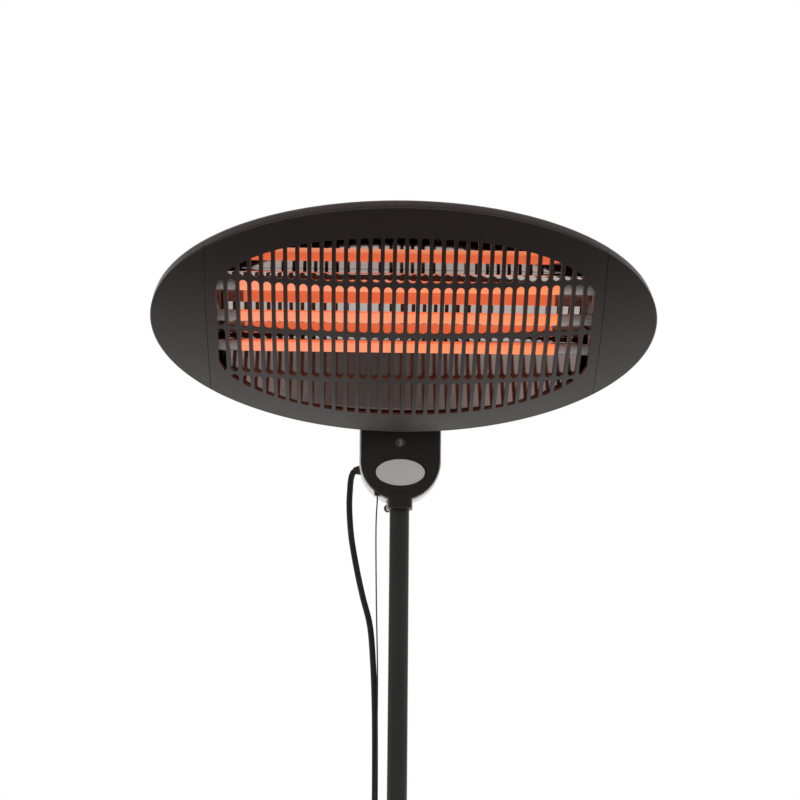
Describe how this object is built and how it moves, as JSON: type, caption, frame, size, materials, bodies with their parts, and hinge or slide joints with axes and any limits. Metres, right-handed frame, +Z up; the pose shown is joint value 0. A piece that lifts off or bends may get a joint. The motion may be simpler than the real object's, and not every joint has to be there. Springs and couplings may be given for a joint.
{
  "type": "infrared patio heater tower",
  "caption": "Free-standing infrared heater: an oval head with a domed slotted front that tilts on a telescopic pole over a round weighted base.",
  "frame": {"origin": "bottom centre of the round base, on the floor, on the axis of the pole", "axes": "+Z up the pole; -Y is the side that the heater head faces; +X is to the right seen from the front"},
  "size_m": [0.53, 0.6092, 1.9179],
  "materials": {
    "black_paint": "semi-gloss black powder coat",
    "head_paint": "aluminium sheet under semi-gloss black powder coat",
    "black_plastic": "satin black moulding",
    "concrete": "cast ballast",
    "foot_rubber": "moulded",
    "steel": "zinc plated",
    "nylon": "natural nylon",
    "cable": "flexible sheath",
    "silver_shell": "silver-grey paint",
    "badge_metal": "satin, bare",
    "clear_plastic": "clear window",
    "mirror_sheet": "polished reflector sheet",
    "quartz_glow": "glowing quartz tube",
    "ceramic": "unglazed white"
  },
  "bodies": {
    "root": {"base_cover": "black_paint", "base_weight": "concrete", "rubber_foot_1": "foot_rubber", "rubber_foot_2": "foot_rubber", "rubber_foot_3": "foot_rubber", "rubber_foot_4": "foot_rubber", "pole_socket": "black_plastic", "base_bolt": "steel", "lower_tube": "black_paint", "middle_tube": "black_paint", "tube_coupler": "steel", "height_clamp_collar": "black_plastic", "slide_bush": "nylon", "cable_clip_1": "black_plastic", "cable_clip_2": "black_plastic", "mains_lead_lower": "cable", "mains_coil": "cable", "coil_tie": "black_plastic", "mains_plug": "foot_rubber"},
    "mast": {"upper_tube": "black_paint", "hub_front_cover": "black_plastic", "hub_rear_shell": "silver_shell", "badge_plate": "badge_metal", "level_window": "clear_plastic", "pull_switch": "black_plastic", "terminal_block": "nylon", "tip_over_switch": "steel", "neck_collar": "black_plastic", "pivot_block": "steel", "stop_pin": "steel", "hub_screw_1": "steel", "hub_screw_2": "steel", "cable_gland": "foot_rubber", "string_guide": "nylon", "mains_lead_upper": "cable"},
    "head": {"front_grille": "head_paint", "end_cap_left": "head_paint", "end_cap_right": "head_paint", "rear_housing": "head_paint", "reflector": "mirror_sheet", "quartz_tube_1": "quartz_glow", "quartz_tube_2": "quartz_glow", "quartz_tube_3": "quartz_glow", "tube_holder_left": "ceramic", "tube_holder_right": "ceramic", "tube_bracket_left": "steel", "tube_bracket_right": "steel", "tilt_washer_left": "nylon", "tilt_washer_right": "nylon", "tilt_bracket": "black_paint", "tilt_bolt": "steel"},
    "height_knob": {"height_clamp_knob": "black_plastic"},
    "neck_knob": {"neck_lock_knob": "black_plastic"},
    "dial": {"level_dial": "nylon"},
    "pull": {"pull_plunger": "nylon", "pull_string": "cable", "pull_handle": "black_plastic"},
    "tilt_grip": {"tilt_knob": "black_plastic"}
  },
  "joints": [
    {"name": "pole_height", "type": "slide", "parent": "root", "child": "mast", "axis": [0, 0, 1], "range_m": [-0.4, 0], "deforming": ["mains_lead_upper"]},
    {"name": "head_tilt", "type": "hinge", "parent": "mast", "child": "head", "pos_m": [0, -0.005, 1.81], "axis": [1, 0, 0], "range_deg": [-40, 0]},
    {"name": "height_knob_turn", "type": "hinge", "parent": "root", "child": "height_knob", "pos_m": [0.036, 0, 1.145], "axis": [1, 0, 0], "range_deg": [0, 180]},
    {"name": "neck_knob_turn", "type": "hinge", "parent": "mast", "child": "neck_knob", "pos_m": [0, 0, 1.6212], "axis": [-0.6, 0.8, 0], "range_deg": [0, 180]},
    {"name": "tilt_knob_turn", "type": "hinge", "parent": "head", "child": "tilt_grip", "pos_m": [0, -0.005, 1.81], "axis": [1, 0, 0], "range_deg": [0, 180]},
    {"name": "level_dial_step", "type": "hinge", "parent": "mast", "child": "dial", "pos_m": [-0.0145, -0.0208, 1.69], "axis": [0, 1, 0], "continuous": true},
    {"name": "pull_switch_stroke", "type": "slide", "parent": "mast", "child": "pull", "axis": [0, 0, -1], "range_m": [0, 0.012], "stiffness_N_per_m": 250, "springref_m": -0.004}
  ]
}
